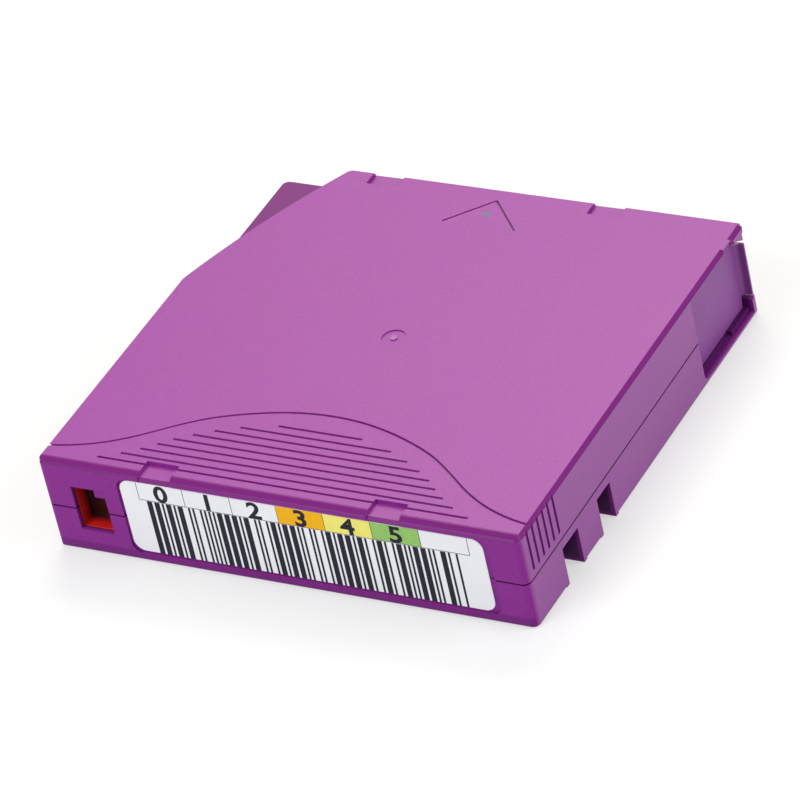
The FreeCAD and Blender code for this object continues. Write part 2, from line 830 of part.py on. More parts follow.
# ---- door ----
def door():
    panel = box(door_inner, door_outer, door_rear, door_panel_front, door_bottom, door_top)
    end = box(door_inner, door_outer, door_panel_front - 1, door_lip_front, door_lip_bottom, door_lip_top)
    lip = box(door_outer - door_lip_overlap, door_outer + door_lip_reach,
              door_lip_front - door_lip_thickness, door_lip_front, door_lip_bottom, door_lip_top)
    block = fused([panel, end, lip])
    inner_y_edge = door_lip_front - door_lip_thickness
    root = upright_edges(block, door_outer, inner_y_edge)
    block = block.makeFillet(door_lip_fillet, root)
    tip = upright_edges(block, door_outer + door_lip_reach, door_lip_front)
    block = block.makeFillet(door_lip_round, tip)
    spigot_base = FreeCAD.Vector(door_spring_x(), door_rear - door_spigot_length, door_spring_height)
    spigot = Part.makeCylinder(door_spring_radius - door_spring_wire / 2 - fit_gap, door_spigot_length,
                               spigot_base, FreeCAD.Vector(0, 1, 0))
    rib = box(door_inner - door_rib_thickness, door_inner, door_rib_start, door_rib_start + door_rib_width,
              door_bottom + door_rib_margin, door_top - door_rib_margin)
    return fused([block, spigot, rib])


def door_spring_x():
    return (door_inner + door_outer) / 2


# ---- springs ----
def flat_face(corners):
    return Part.Face(Part.makePolygon(corners + corners[:1]))


def coil(radius, wire, length, turns, steps):
    """Spring along +Z from z = 0: wire of square section, with some straight steps to each turn."""
    rise = (length - wire) / (turns * steps)
    rings = []
    for i in range(turns * steps + 1):
        angle = 2 * math.pi * i / steps
        ring = []
        for side_x, side_z in ((1, 0), (0, 1), (-1, 0), (0, -1)):
            out = radius + side_x * wire / 2
            ring.append(FreeCAD.Vector(out * math.cos(angle), out * math.sin(angle),
                                       rise * i + (1 + side_z) * wire / 2))
        rings.append(ring)
    faces = [flat_face(rings[0]), flat_face(rings[-1])]
    for one, two in zip(rings, rings[1:]):
        for k in range(4):
            after = (k + 1) % 4
            faces.append(flat_face([one[k], one[after], two[after]]))
            faces.append(flat_face([one[k], two[after], two[k]]))
    return Part.Solid(Part.Shell(faces))


def door_spring():
    length = door_rear - door_spring_stop - fit_gap
    spring = coil(door_spring_radius, door_spring_wire, length, door_spring_turns, 6)
    spring.rotate(FreeCAD.Vector(0, 0, 0), FreeCAD.Vector(1, 0, 0), -90)
    spring.translate(FreeCAD.Vector(door_spring_x(), door_spring_stop + fit_gap / 2, door_spring_height))
    return spring


def brake_spring():
    length = ceiling - brake_disc_top
    spring = coil(brake_spring_radius, brake_spring_wire, length, brake_spring_turns, 12)
    spring.translate(FreeCAD.Vector(0, 0, brake_disc_top))
    return spring


# ---- reel ----
def tooth(inner, outer, base, tip, height, z, up):
    """One radial tooth with sloping flanks, standing on the plane at z."""
    rise = height if up else -height
    root = -0.1 if up else 0.1
    outline = [(-base / 2, z + root), (base / 2, z + root), (base / 2, z), (tip / 2, z + rise),
               (-tip / 2, z + rise), (-base / 2, z)]
    return prism_along_x(outline, inner, outer)


def hub_round(low, high):
    return small_round(hub_radius, low, high, sides=60)


def flange_disc(low, high):
    return small_round(flange_radius, low, high, sides=72)


def reel_hub():
    barrel = hub_round(reel_bottom, winding_top + flange_thickness)
    barrel = barrel.cut(small_round(hub_inner, 0, case_height, sides=60))
    flange = flange_disc(reel_bottom, winding_bottom).cut(cylinder(hub_inner, 0, case_height))
    base = cylinder(hub_inner + 0.1, hub_floor_bottom, hub_floor_top)
    base = base.cut(cylinder(hub_inner + 1, hub_floor_bottom, reel_bottom)
                    .cut(cylinder(drive_opening_radius - skirt_gap, hub_floor_bottom, reel_bottom)))
    skirt_outer = drive_opening_radius - skirt_gap
    skirt = tube(skirt_outer - skirt_wall, skirt_outer, skirt_bottom, reel_bottom)
    nose = small_round(plate_inner_radius - fit_gap, hub_floor_bottom - plate_thickness, hub_floor_bottom,
                       sides=24)
    posts = [sector(brake_tooth_inner - tooth_post_margin, brake_tooth_outer + tooth_post_margin,
                    hub_floor_top - fit_gap, hub_root, angle, tooth_post_angle / 2)
             for angle in (60, 180, 300)]
    hub = fused([barrel, flange, base, skirt, nose] + posts)

    drive_tooth = tooth(drive_tooth_inner, drive_tooth_outer, drive_tooth_base, drive_tooth_tip,
                        drive_tooth_height, hub_floor_bottom, False)
    brake_tooth = tooth(brake_tooth_inner, brake_tooth_outer, brake_tooth_base, brake_tooth_tip,
                        brake_tooth_height, hub_root, True)
    pitch = 360.0 / brake_teeth
    per_post = int(tooth_post_angle / pitch / 2)
    catches = [turned(brake_tooth, middle + pitch * i) for middle in (60, 180, 300)
               for i in range(-per_post, per_post + 1)]
    blank = drive_teeth // 3
    teeth = [turned(drive_tooth, 360.0 * i / drive_teeth) for i in range(drive_teeth)
             if blank_teeth < i % blank + 1 <= blank - blank_teeth + 1]
    hole = small_round(pad_leg_radius + pad_leg_gap, 0, hub_floor_top + 1, pad_leg_circle, 0, sides=16)
    return hub.fuse(teeth + catches).cut(ring_of(hole, 3))


def upper_flange():
    top = winding_top + flange_thickness
    return flange_disc(winding_top, top).cut(hub_round(winding_top, top))


def clutch_plate():
    low = hub_floor_bottom - plate_thickness
    disc = small_round(plate_outer_radius, low, hub_floor_bottom, sides=48)
    return disc.cut(small_round(plate_inner_radius, low, hub_floor_bottom, sides=24))


def tape_pack():
    winding = small_round(tape_radius, tape_bottom, tape_top, sides=72)
    return winding.cut(hub_round(tape_bottom, tape_top))


def tape_leader():
    """The tape's free end: straight from the winding to the clip, touching both circles."""
    distance = math.hypot(pin_x, pin_y)
    lean = math.acos((tape_radius - clip_radius) / distance)
    normal = math.atan2(pin_y, pin_x) - lean
    out_x = math.cos(normal)
    out_y = math.sin(normal)
    corners = []
    for radius_at, middle_x, middle_y in ((tape_radius, 0, 0), (clip_radius, pin_x, pin_y)):
        corners.append((middle_x + out_x * radius_at, middle_y + out_y * radius_at))
    for radius_at, middle_x, middle_y in ((clip_radius, pin_x, pin_y), (tape_radius, 0, 0)):
        reach = radius_at + tape_thickness
        corners.append((middle_x + out_x * reach, middle_y + out_y * reach))
    ribbon = prism(corners, tape_bottom, tape_top)
    return ribbon


# ---- brake and release pad ----
def brake():
    disc = cylinder(brake_disc_radius, brake_disc_bottom, brake_disc_top)
    post = small_round(brake_post_radius, brake_disc_top - 0.1,
                       brake_disc_top + brake_post_height, sides=24)
    nose = small_round(brake_nose_radius, pad_top + fit_gap, brake_disc_bottom + fit_gap, sides=16)
    body = fused([disc, post, nose])
    one_tooth = tooth(brake_tooth_inner, brake_tooth_outer, brake_tooth_base, brake_tooth_tip,
                      brake_tooth_height, brake_disc_bottom, False)
    half_pitch = 180.0 / brake_teeth
    teeth = ring_of(turned(one_tooth, half_pitch), brake_teeth)
    slot = brake_key(brake_key_gap, brake_slot_bottom, ceiling)
    return body.fuse(teeth).cut(slot)


def release_pad():
    top = pad_bottom + pad_thickness
    boss = small_round(pad_boss_radius, top, top + pad_boss_height, sides=16)
    parts = [small_round(pad_middle_radius, pad_bottom, top, sides=24), boss]
    arm = box(0, pad_leg_circle, -pad_arm_width / 2, pad_arm_width / 2, pad_bottom, top)
    arm = arm.fuse(small_round(pad_arm_width / 2, pad_bottom, top, pad_leg_circle, 0, sides=16))
    leg = small_round(pad_leg_radius, pad_bottom - pad_leg_length, pad_bottom + fit_gap, pad_leg_circle, 0,
                      sides=16)
    return fused(parts + ring_of(arm, 3) + ring_of(leg, 3))


# ---- leader pin and what holds it ----
def pin_flange_faces():
    """Outer faces of the pin's two flanges, which stand just past the tape's edges."""
    reach = fit_gap + pin_flange_thickness
    return tape_bottom - reach, tape_top + reach


def leader_pin():
    low, high = pin_flange_faces()
    lengths = [(pin_end_radius, floor, ceiling - fit_gap),
               (pin_flange_radius, low, tape_bottom - fit_gap),
               (pin_flange_radius, tape_top + fit_gap, high)]
    rounds = [small_round(radius, z0, z1, pin_x, pin_y, sides=24) for radius, z0, z1 in lengths]
    waist = tube(pin_shaft_radius, pin_flange_radius,
                 tape_bottom - fit_gap, tape_top + fit_gap, pin_x, pin_y)
    return fused(rounds).cut(waist)


def pin_clip():
    ring = tube(pin_shaft_radius, clip_radius, tape_bottom, tape_top, pin_x, pin_y)
    mouth = pin_shaft_radius * 0.6
    return ring.cut(box(pin_x - BIG, pin_x, pin_y - mouth, pin_y + mouth, 0, case_height))


def pin_spring():
    """Leaf that stands against the front wall, with an arm to each end of the pin."""
    t = pin_spring_thickness
    back = inner_y
    corner_x = pin_x - pin_seat_radius - pin_spring_clear
    spine = box(corner_x - pin_spring_foot, corner_x + t, back - t, back, floor + pin_spring_end_gap,
                ceiling - pin_spring_end_gap)
    touch_x = pin_x - pin_flange_radius
    bend_y = pin_y + pin_seat_radius
    arm_plan = [(corner_x, back), (corner_x, bend_y), (touch_x - t, pin_y + pin_tip_length),
                (touch_x - t, pin_y - pin_tip_length), (touch_x, pin_y - pin_tip_length),
                (touch_x, pin_y + pin_tip_length), (corner_x + t, bend_y), (corner_x + t, back)]
    low, high = pin_flange_faces()
    arms = [prism(arm_plan, low, low + pin_flange_thickness),
            prism(arm_plan, high - pin_flange_thickness, high)]
    return fused([spine] + arms)


# ---- write-protect slider ----
def write_protect_slider():
    left = window_left - slider_cover
    right = window_right + slider_right_margin
    y0 = -half_length + window_wall + slider_gap
    y1 = y0 + slider_plate
    z0 = window_bottom - slider_edge
    z1 = window_top + slider_edge
    plate = box(left, right, y0, y1, z0, z1)
    cup_back = y1 + slider_cup_depth
    rim = slider_cup_wall
    shell = box(window_left - rim, window_right + rim, y0, cup_back, window_bottom - rim, window_top + rim)
    foot = box(window_left - rim, window_left - rim + sense_hole_width,
               wall_inner_y + slider_plate + slider_foot_gap, cup_back,
               floor + slider_gap, z0 + slider_foot_overlap)
    body = fused([plate, shell, foot])
    step_top = window_top - window_step_drop
    low = window_bottom + slider_cup_margin
    high = window_top - slider_cup_margin
    in_left = window_left + slider_cup_margin
    in_right = window_right - slider_cup_margin
    step_x = window_step_x - slider_cup_margin
    step_z = step_top - slider_cup_margin
    cavity = [(in_left, low), (in_right, low), (in_right, step_z), (step_x, step_z), (step_x, high),
              (in_left, high)]
    return body.cut(prism_along_y(cavity, y0 - 1, cup_back - rim))


# ---- label, memory and screws ----
def barcode_label():
    return label_block(0, label_face - label_thickness, label_face)


def memory_board():
    y0, z0, run = board_slope()
    t = board_thickness * math.sqrt(2)
    outline = [(y0, z0), (y0 + t, z0), (y0 + t - run, z0 + run), (y0 - run, z0 + run)]
    return prism_along_x(outline, board_left, board_right)


def memory_chip():
    y0, z0, run = board_slope()
    t = board_thickness * math.sqrt(2)
    middle_x = (board_left + board_right) / 2
    half = chip_size / 2 / math.sqrt(2)
    depth = chip_thickness * math.sqrt(2)
    middle_y = y0 + t - run / 2
    middle_z = z0 + run / 2
    outline = [(middle_y - half, middle_z + half), (middle_y + half, middle_z - half),
               (middle_y + half + depth / 2, middle_z - half + depth / 2),
               (middle_y - half + depth / 2, middle_z + half + depth / 2)]
    return prism_along_x(outline, middle_x - chip_size / 2, middle_x + chip_size / 2)


def case_screw(x, y):
    head_bottom = screw_seat - screw_head_height
    tip = screw_seat + screw_shank_length
    head = small_round(screw_head_radius, head_bottom, screw_seat, x, y, sides=16)
    shank = small_round(screw_shank_radius, screw_seat - fit_gap, tip, x, y, sides=8)
    shank = bevelled(shank, tip, screw_tip_bevel)
    recess = small_round(screw_recess_radius, head_bottom - 1, head_bottom + screw_recess_depth, x, y,
                         sides=6)
    return fused([head, shank]).cut(recess)


os.makedirs("parts", exist_ok=True)
save("upper_shell", upper_shell())
save("lower_shell", lower_shell())
save("door", door())
save("door_spring", door_spring())
save("reel_hub", reel_hub())
save("upper_flange", upper_flange())
save("clutch_plate", clutch_plate())
save("tape_pack", tape_pack())
save("tape_leader", tape_leader())
save("brake", brake())
save("brake_spring", brake_spring())
save("release_pad", release_pad())
save("leader_pin", leader_pin())
save("pin_clip", pin_clip())
save("pin_spring", pin_spring())
save("write_protect_slider", write_protect_slider())
save("barcode_label", barcode_label())
save("memory_board", memory_board())
save("memory_chip", memory_chip())
save("case_screws", Part.makeCompound([case_screw(x, y) for x, y in screw_places()]))
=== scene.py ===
import json
import math

import bmesh
import bpy
from mathutils import Matrix, Vector

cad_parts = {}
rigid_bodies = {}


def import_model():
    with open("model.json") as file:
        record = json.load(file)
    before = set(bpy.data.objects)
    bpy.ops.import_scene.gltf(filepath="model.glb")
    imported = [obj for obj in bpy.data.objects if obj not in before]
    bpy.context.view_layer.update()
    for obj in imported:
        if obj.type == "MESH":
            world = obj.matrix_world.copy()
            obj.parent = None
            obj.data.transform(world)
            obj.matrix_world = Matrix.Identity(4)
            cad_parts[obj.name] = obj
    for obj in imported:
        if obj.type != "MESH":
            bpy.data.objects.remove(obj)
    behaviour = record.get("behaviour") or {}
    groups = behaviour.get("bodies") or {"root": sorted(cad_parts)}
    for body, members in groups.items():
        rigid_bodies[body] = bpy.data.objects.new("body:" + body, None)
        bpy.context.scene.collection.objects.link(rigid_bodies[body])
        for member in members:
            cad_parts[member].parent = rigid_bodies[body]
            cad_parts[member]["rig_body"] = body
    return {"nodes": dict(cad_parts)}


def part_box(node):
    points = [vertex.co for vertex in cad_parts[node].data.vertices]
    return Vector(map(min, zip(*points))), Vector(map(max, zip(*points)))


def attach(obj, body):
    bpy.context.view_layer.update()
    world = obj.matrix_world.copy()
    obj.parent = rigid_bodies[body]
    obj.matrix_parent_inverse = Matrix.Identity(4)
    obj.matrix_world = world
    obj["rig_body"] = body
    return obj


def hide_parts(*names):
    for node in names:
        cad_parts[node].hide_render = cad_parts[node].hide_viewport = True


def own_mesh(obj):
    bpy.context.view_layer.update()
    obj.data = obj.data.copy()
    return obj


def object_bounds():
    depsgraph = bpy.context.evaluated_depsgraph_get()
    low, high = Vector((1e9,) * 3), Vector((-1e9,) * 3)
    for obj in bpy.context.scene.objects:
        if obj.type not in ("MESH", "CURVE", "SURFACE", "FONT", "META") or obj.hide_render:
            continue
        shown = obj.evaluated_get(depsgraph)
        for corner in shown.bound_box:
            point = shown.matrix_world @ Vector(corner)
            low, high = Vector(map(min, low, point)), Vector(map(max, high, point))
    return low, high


# Looks of a half-inch data tape cartridge, in the frame of its CAD model: +Z is up, the label faces
# -Y, the sliding door is in the +X side and the end that goes into a drive is at +Y.

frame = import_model()
cad_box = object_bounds()

# The frame is in metres. Sizes and places below are in millimetres where nothing else is said.
MM = 0.001

# ---- the case's own sizes, from the frame ----
HALF_WIDTH = cad_box[1][0] / MM
HALF_LENGTH = cad_box[1][1] / MM
CASE_TOP = cad_box[1][2] / MM

# ---- where the case's finish and its painted light and shade change ----
GROOVE_FLOORS = (CASE_TOP - 0.4, CASE_TOP - 0.265)
LEDGE_HEIGHTS = (15.0, 16.2)
TOP_SKIN = (CASE_TOP - 0.1, CASE_TOP - 0.05)
SEAM = (10.35, 10.66)
SHELL_SKIN = (0.25, 1.3)
ROOM_TOP = (15.7, 15.8)
LABEL_SIDE_EDGE = (49.15, 49.25)
LIP_DEPTH = (50.2, 50.4)
LIP_TOP = (2.0, 2.6)
GATE = (-0.25, 0.8)
GATE_PIP = 0.8
GATE_FLOOR = (CASE_TOP - 0.2, CASE_TOP - 0.1)
SLIDER_CUP = (-48.9, -46.2)

# ---- how squarely a face looks along an axis: 0 is side-on, 1 is straight ----
SQUARE_ON = (0.8, 0.95)
SLOPE_FROM = (0.12, 0.30)
SLOPE_TO = (0.94, 0.99)

# ---- print on the top ----
ARROW_TIP = (-0.3, 43.85)
ARROW_BASE = 41.7
ARROW_HALF_WIDTH = 1.45
PRINT_BLEED = 0.04

# ---- print on the label ----
CELL_EDGES = [-31.1, -20.8, -10.3, -0.1, 10.1, 20.4, 30.8, 41.1]
CELL_ROW = (15.45, 19.6)
CELL_TOP_GAP = 0.02
CELL_PRINTS = ["0", "1", "2", "3", "4", "5", ""]
CELL_INKS = ["paper", "paper", "paper", "orange", "yellow", "green", "paper"]
DIGIT_HEIGHT = 3.75
DIGIT_LIFT = 0.15
DIGIT_SPREAD = 1.15
DIGIT_WEIGHT = 0.15
DIGIT_SHARE_OF_LINE = 0.70
RULE_WIDTH = 0.12
BARS = (-29.55, 38.9)
BAR_TOP = 15.25
BAR_BOTTOM = 2.32
WIDE_BAR = 2.5
STRIPES_IN_GROUP = 10
WIDE_PLACES = [(0, 2, 6), (0, 1, 5), (4, 6, 8), (2, 3, 7), (0, 4, 6), (1, 5, 8), (2, 4, 8), (1, 4, 7),
               (0, 6, 8), (3, 4, 7)]
INK_LIFT = 0.012
RULE_LIFT = INK_LIFT * 1.3
DIGIT_INK_LIFT = INK_LIFT * 1.6

# ---- mesh ----
SAME_PLACE = 0.002
FLAT_DEGREES = 0.6
SHARP_DEGREES = 32
SHELL_SHARP_DEGREES = 20
LEAST_EDGE = 0.45
COIL_STEPS = 28
CLOSED_TURNS = 0.75

# ---- springs: radius of the coil, thickness of the wire, turns, and what is left when pressed ----
DOOR_SPRING = (0.75, 0.35, 30)
BRAKE_SPRING = (6.6, 0.8, 5)

# ---- memory board ----
LOOPS_MIDDLE = 37.0
LOOPS_BAND = (3.4, 7.2)

# ---- colours, linear ----
PURPLE = (0.228, 0.020, 0.250)
# painted light: faces that point up get a slightly warmer tint than the sides, for how the top looks lit
LIT_TOP_PURPLE = (0.236, 0.023, 0.232)
FLOW_PURPLE = (0.250, 0.027, 0.262)
SPECK_PURPLE = (0.300, 0.042, 0.320)
# painted shade: the dark line of the shadow in the parting groove between the shells
SEAM_SHADE_PURPLE = (0.040, 0.003, 0.045)
# painted shade: the darker colour of the smooth bevels, groove floors, ledge and the top's front edge
POLISHED_SHADE_PURPLE = (0.152, 0.009, 0.152)
# painted shade: the dark colour of recesses and of the low front lip
RECESS_SHADE_PURPLE = (0.045, 0.003, 0.060)
DOOR_PURPLE = (0.240, 0.062, 0.285)
RED = (0.62, 0.014, 0.014)
# painted shade: the dark red deep in the slider's cup
RED_CUP_SHADE = (0.035, 0.006, 0.004)
NATURAL_WHITE = (0.72, 0.71, 0.66)
BLACK_PLASTIC = (0.018, 0.018, 0.019)
TAPE_BROWN = (0.020, 0.016, 0.014)
TAPE_EDGE_BROWN = (0.045, 0.035, 0.030)
PLATE_STEEL = (0.47, 0.46, 0.44)
PLATE_STEEL_LIGHT = (0.60, 0.59, 0.57)
SPRING_STEEL = (0.52, 0.51, 0.49)
PIN_STEEL = (0.62, 0.62, 0.61)
SCREW_STEEL = (0.34, 0.33, 0.32)
LAMINATE_GREEN = (0.03, 0.16, 0.06)
LOOP_GREEN = (0.10, 0.30, 0.10)
PAPER = (0.89, 0.90, 0.94)
BAR_INK = (0.012, 0.012, 0.026)
ORANGE = (0.96, 0.49, 0.008)
YELLOW = (0.93, 0.87, 0.20)
GREEN = (0.31, 0.58, 0.15)
PRINT_GREY = (0.11, 0.085, 0.20)

# ---- gloss ----
CASE_GLOSS = 0.14
MOULDED_GLOSS = 0.4
SLIDER_GLOSS = 0.3
INK_GLOSS = 0.15
SIDE_COAT = 0.8
TOP_COAT = 0.38

# ---- light; places and sizes of the lamps in metres, power in watts ----
WHITE = (1.0, 1.0, 1.0, 1.0)
WARM = (1.0, 0.93, 0.78)
COOL = (0.98, 0.98, 1.0)
WORLD_LIGHT = 0.62
LAMPS = [("key", (-0.17, 0.47, 0.56), (0.45, 0.40), 2.8, WARM),
         ("front", (-0.18, -0.52, 0.50), (0.40, 0.40), 2.65, COOL),
         ("side", (0.55, 0.10, 0.40), (0.40, 0.40), 1.9, COOL)]
LAMP_TARGET = (0, 0, 0.01)
FLOOR_GREY = (0.42, 0.42, 0.42, 1.0)
FLOOR_GLOW = 0.48
FLOOR_GAP = 0.1
FLOOR_HALF_SIDE = 4000.0

# ---- camera; angles in degrees ----
CAMERA_LENS = 260.73
CAMERA_TARGET = (1.864, -5.003, 10.75)
CAMERA_DISTANCE = 1132.71
CAMERA_AZIMUTH = 34.930
CAMERA_ELEVATION = 35.799
CAMERA_ROLL = -13.262


# ---- shader maths and materials ----
class Value:
    """A socket in a node tree, with arithmetic."""

    def __init__(self, nodes, socket):
        self.nodes = nodes
        self.socket = socket

    def math(self, operation, *others):
        inputs = dict(enumerate((self,) + others))
        return self.nodes.node("ShaderNodeMath", inputs, operation=operation)

    def __add__(self, other):
        return self.math("ADD", other)

    __radd__ = __add__

    def __sub__(self, other):
        return self.math("SUBTRACT", other)

    def __neg__(self):
        return self.math("MULTIPLY", -1.0)

    def __rsub__(self, other):
        return -self + other

    def __mul__(self, other):
        return self.math("MULTIPLY", other)

    __rmul__ = __mul__

    def __abs__(self):
        return self.math("ABSOLUTE")

    def at_most(self, other):
        return self.math("MINIMUM", other)

    def at_least(self, other):
        return self.math("MAXIMUM", other)

    def over(self, low, high):
        """0 below low, 1 above high, with a smooth step between."""
        inputs = {"Value": self, "From Min": low, "From Max": high}
        return self.nodes.node("ShaderNodeMapRange", inputs, interpolation_type="SMOOTHSTEP")

    def between(self, low, high, edge):
        """1 from low to high, and 0 from edge outside them."""
        return self.over(low - edge, low) * (1 - self.over(high, high + edge))

    def part(self, name):
        """Another output of the same node."""
        return Value(self.nodes, self.socket.node.outputs[name])


class Nodes:
    """Builds the node tree of a material or of the world."""

    def __init__(self, owner):
        owner.use_nodes = True
        self.tree = owner.node_tree
        self.tree.nodes.clear()

    def node(self, kind, inputs=None, **settings):
        made = self.tree.nodes.new(kind)
        for key, value in settings.items():
            setattr(made, key, value)
        for key, value in (inputs or {}).items():
            if isinstance(value, Value):
                self.tree.links.new(value.socket, made.inputs[key])
            else:
                made.inputs[key].default_value = value
        shown = [socket for socket in made.outputs if socket.enabled]
        return Value(self, shown[0]) if shown else None

    def mix(self, share, first, second):
        """Blend of two colours; on a Mix node the colour sockets are the seventh and eighth."""
        colours = [(*value, 1.0) if isinstance(value, tuple) else value for value in (first, second)]
        return self.node("ShaderNodeMix", {0: share, 6: colours[0], 7: colours[1]}, data_type="RGBA")

    def seen_plainly(self):
        """1 for what the camera, a gloss or a clear piece sees, 0 for the light that reaches a surface."""
        path = self.node("ShaderNodeLightPath")
        seen = path.part("Is Camera Ray").at_least(path.part("Is Glossy Ray"))
        return seen.at_least(path.part("Is Transmission Ray"))


class Finish(Nodes):
    """A procedural material: places, facings and noises give masks, and surface() sets the shader."""

    def __init__(self, name):
        self.material = bpy.data.materials.new(name)
        super().__init__(self.material)
        self.spot = self.node("ShaderNodeTexCoord").part("Object")

    def place(self, axis):
        """Distance along one axis of the frame, in millimetres."""
        return self.node("ShaderNodeSeparateXYZ", {0: self.spot}).part(axis) * (1 / MM)

    def radius(self, x=0.0, y=0.0):
        """Distance from an upright axis through x and y."""
        across, along = self.place("X") - x, self.place("Y") - y
        return (across * across + along * along).math("SQRT")

    def facing(self, axis):
        """How squarely the surface faces along one axis, from 0 to 1."""
        normal = self.node("ShaderNodeNewGeometry").part("True Normal")
        return abs(self.node("ShaderNodeSeparateXYZ", {0: normal}).part(axis))

    def noise(self, size, detail, stretch=(1, 1, 1)):
        """Noise with features of about this size, drawn out along an axis by stretch."""
        scaled = self.node("ShaderNodeVectorMath", {0: self.spot, 1: [1 / s for s in stretch]},
                           operation="MULTIPLY")
        inputs = {"Vector": scaled, "Scale": 1 / (size * MM), "Detail": detail}
        return self.node("ShaderNodeTexNoise", inputs)

    def cells(self, size):
        """Close round cells, such as a spark-eroded mould leaves."""
        inputs = {"Vector": self.spot, "Scale": 1 / (size * MM)}
        return self.node("ShaderNodeTexVoronoi", inputs, feature="F1")

    def relief(self, height, depth):
        return self.node("ShaderNodeBump", {"Height": height, "Distance": depth * MM})

    def surface(self, colour, roughness, normal, metallic=0.0, **constants):
        """Colour, roughness and normal may vary; constants are set on the shader itself."""
        inputs = {"Base Color": colour, "Roughness": roughness, "Metallic": metallic, "Normal": normal}
        inputs.update(constants)
        shader = self.node("ShaderNodeBsdfPrincipled", inputs)
        self.node("ShaderNodeOutputMaterial", {"Surface": shader})
        return self.material


def shade(colour, factor):
    return tuple(c * factor for c in colour)


def moulded(name, colour, roughness, grain_size=0.22, grain_depth=0.012, spread=0.06):
    """Moulded plastic: fine spark-eroded grain, slight mottling and faint handling marks."""
    finish = Finish(name)
    grain = finish.cells(grain_size)
    mottle = finish.noise(9.0, 4.0)
    rub = finish.noise(2.5, 5.0, (6, 1, 1)).over(0.60, 0.78)
    tint = finish.mix(mottle.over(0.3, 0.7), shade(colour, 1 - spread), shade(colour, 1 + spread))
    rough = roughness + (mottle - 0.5) * 0.10 - rub * 0.06
    return finish.surface(tint, rough, finish.relief(grain, grain_depth),
                          **{"Specular IOR Level": MOULDED_GLOSS})


def printed_arrow(finish):
    """The small printed triangle that points to the end which goes in first."""
    x, y = ARROW_TIP
    length = y - ARROW_BASE
    down = y - finish.place("Y")
    aside = abs(finish.place("X") - x)
    sides = (down * (ARROW_HALF_WIDTH / length) - aside).over(-PRINT_BLEED, PRINT_BLEED)
    return sides * (1 - down.over(length - PRINT_BLEED, length))


def polished_and_shaded_places(finish):
    """The shells' bevels, groove floors, ledge and label side edge, which the mould leaves smooth, and
    whose darker colour is painted shade.
    """
    upright, z = finish.facing("Z"), finish.place("Z")
    bevels = upright.over(*SLOPE_FROM) * (1 - upright.over(*SLOPE_TO))
    grooves = z.between(*GROOVE_FLOORS, 0.01) * upright.over(0.9, 0.98)
    ledge = z.between(*LEDGE_HEIGHTS, 0.2) * upright.over(*SQUARE_ON)
    label_side = (-finish.place("Y")).over(*LABEL_SIDE_EDGE) * z.over(*TOP_SKIN)
    return (bevels + grooves + ledge + label_side).at_most(1.0)


def inside_shell(finish):
    """1 on the faces inside the shells, where little light comes; case_tint darkens them with painted
    shade.
    """
    x, y, z = (finish.place(axis) for axis in "XYZ")
    inward = (HALF_WIDTH - abs(x)).at_most(HALF_LENGTH - abs(y)).at_most(z)
    return inward.over(*SHELL_SKIN) * (1 - z.over(*ROOM_TOP))


def case_tint(finish, mottle, polished, inside):
    """Purple with a slight flow and speckle; the top's tint is painted light, and the smooth bands, inner
    faces, seam and low front lip are darkened with painted shade.
    """
    y, z = finish.place("Y"), finish.place("Z")
    flow = finish.noise(16.0, 5.0, (1, 3, 1)).over(0.35, 0.75)
    speck = finish.noise(0.38, 2.0).over(0.35, 0.68)
    # painted shade: the low front lip under the label is darkened
    lip_shade = (-y).over(*LIP_DEPTH) * (1 - z.over(*LIP_TOP)) * finish.facing("Y").over(0.5, 0.8)
    # painted light: faces that point up take the lit top tint
    tint = finish.mix(finish.facing("Z").over(*SQUARE_ON), PURPLE, LIT_TOP_PURPLE)
    tint = finish.mix(mottle.over(0.3, 0.7) * 0.4, tint, shade(PURPLE, 1.10))
    tint = finish.mix(flow * 0.3, tint, FLOW_PURPLE)
    tint = finish.mix(speck * 0.35, tint, SPECK_PURPLE)
    # painted shade: the smooth bands are darkened; only their lower roughness is a real finish
    tint = finish.mix(polished, tint, POLISHED_SHADE_PURPLE)
    # painted shade: faces inside the shells are darkened where little light comes
    tint = finish.mix(inside * 0.85, tint, RECESS_SHADE_PURPLE)
    # painted shade: a dark band along the parting groove, where its shadow falls
    tint = finish.mix(z.between(*SEAM, 0.02), tint, SEAM_SHADE_PURPLE)
    tint = finish.mix(lip_shade * 0.35, tint, RECESS_SHADE_PURPLE)
    return finish.mix(printed_arrow(finish) * z.over(*TOP_SKIN), tint, PRINT_GREY)


def case_finish():
    """Shells: fine grain on the faces, polished bands darkened with painted shade, and a thin gloss on the
    top and the sides.
    """
    finish = Finish("case_plastic")
    polished = polished_and_shaded_places(finish)
    inside = inside_shell(finish)
    mottle = finish.noise(11.0, 4.0)
    fine = finish.noise(0.5, 4.0)
    rub = finish.noise(1.2, 6.0, (9, 1, 1)).over(0.62, 0.80)
    pip = (1 - finish.radius(*GATE).over(GATE_PIP - 0.1, GATE_PIP)) * finish.place("Z").over(*GATE_FLOOR)
    rough = 0.44 + (mottle - 0.5) * 0.08 + (fine - 0.5) * 0.08 - rub * 0.05
    rough = rough * (1 - polished) + polished * 0.32
    rough = rough * (1 - pip) + pip * 0.16
    grain = (finish.cells(0.24) + fine * 0.6) * (1 - polished * 0.85) * (1 - pip)
    coat = finish.facing("X").over(*SQUARE_ON) * SIDE_COAT + finish.facing("Z").over(*SQUARE_ON) * TOP_COAT
    tint = case_tint(finish, mottle, polished, inside)
    return finish.surface(tint, rough, finish.relief(grain, 0.022), **{
        "Specular IOR Level": CASE_GLOSS, "Coat Weight": coat * (1 - inside) * (1 - polished),
        "Coat Roughness": 0.4})


